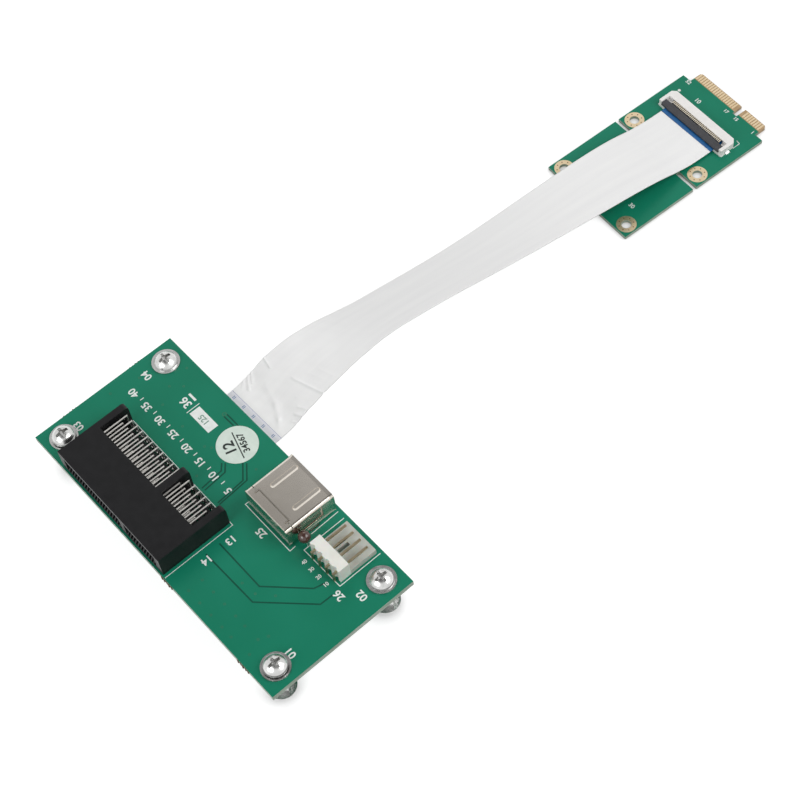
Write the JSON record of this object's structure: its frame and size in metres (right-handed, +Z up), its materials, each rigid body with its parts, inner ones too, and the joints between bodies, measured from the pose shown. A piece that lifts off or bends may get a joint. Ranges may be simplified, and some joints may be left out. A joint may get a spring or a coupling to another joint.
{
  "type": "mini pcie to pcie adapter card",
  "caption": "Green adapter board on standoffs with an edge-card slot, a USB port and a power header, joined by a wide flat ribbon to a small plug-in card with a gold edge.",
  "frame": {"origin": "on the surface that the adapter stands on, below the middle of the bounding box of the rigid pieces", "axes": "+Z up out of the boards; +Y from the large board along the ribbon to the small card's gold edge; +X to the side of the USB port and the power header"},
  "size_m": [0.09, 0.1984, 0.0193],
  "materials": {
    "pcb": "gloss",
    "black_plastic": "satin",
    "white_plastic": "satin",
    "ivory_plastic": "satin",
    "latch_plastic": "satin",
    "bright_steel": "polished",
    "steel": "satin",
    "gold": "polished",
    "contact_metal": "satin",
    "solder": "satin",
    "bead": "gloss",
    "film": "satin",
    "blue_film": "satin",
    "label": "matte"
  },
  "bodies": {
    "adapter": {"main_board": "pcb", "card_board": "pcb", "slot_housing": "black_plastic", "slot_lead_aligner": "black_plastic", "slot_upper_contacts": "contact_metal", "slot_lower_contacts": "contact_metal", "slot_solder": "solder", "port_solder": "solder", "usb_shell": "bright_steel", "usb_insulator": "white_plastic", "usb_contacts": "gold", "power_header_body": "white_plastic", "power_header_pins": "contact_metal", "bead_capacitor": "bead", "bead_capacitor_leads": "contact_metal", "round_label": "label", "top_screws": "steel", "top_washers": "steel", "standoffs": "steel", "bottom_screws": "steel", "bottom_washers": "steel", "card_edge_contacts": "gold", "card_hole_pads": "gold", "ribbon": "film", "card_ffc_housing": "ivory_plastic", "card_ffc_contacts": "contact_metal", "card_ffc_anchors": "solder", "card_cable_end": "blue_film", "board_ffc_housing": "ivory_plastic", "board_ffc_contacts": "contact_metal", "board_ffc_anchors": "solder", "board_cable_end": "blue_film"},
    "card_latch": {"card_ffc_latch": "latch_plastic"},
    "board_latch": {"board_ffc_latch": "latch_plastic"}
  },
  "joints": [
    {"name": "card_latch_flip", "type": "hinge", "parent": "adapter", "child": "card_latch", "pos_m": [-0.00819, 0.0844, 0.00235], "axis": [-0.9984, 0.0558, 0], "range_deg": [0, 90]},
    {"name": "board_latch_flip", "type": "hinge", "parent": "adapter", "child": "board_latch", "pos_m": [-0.0146, -0.06509, 0.00905], "axis": [-1, 0, 0], "range_deg": [0, 90]}
  ]
}
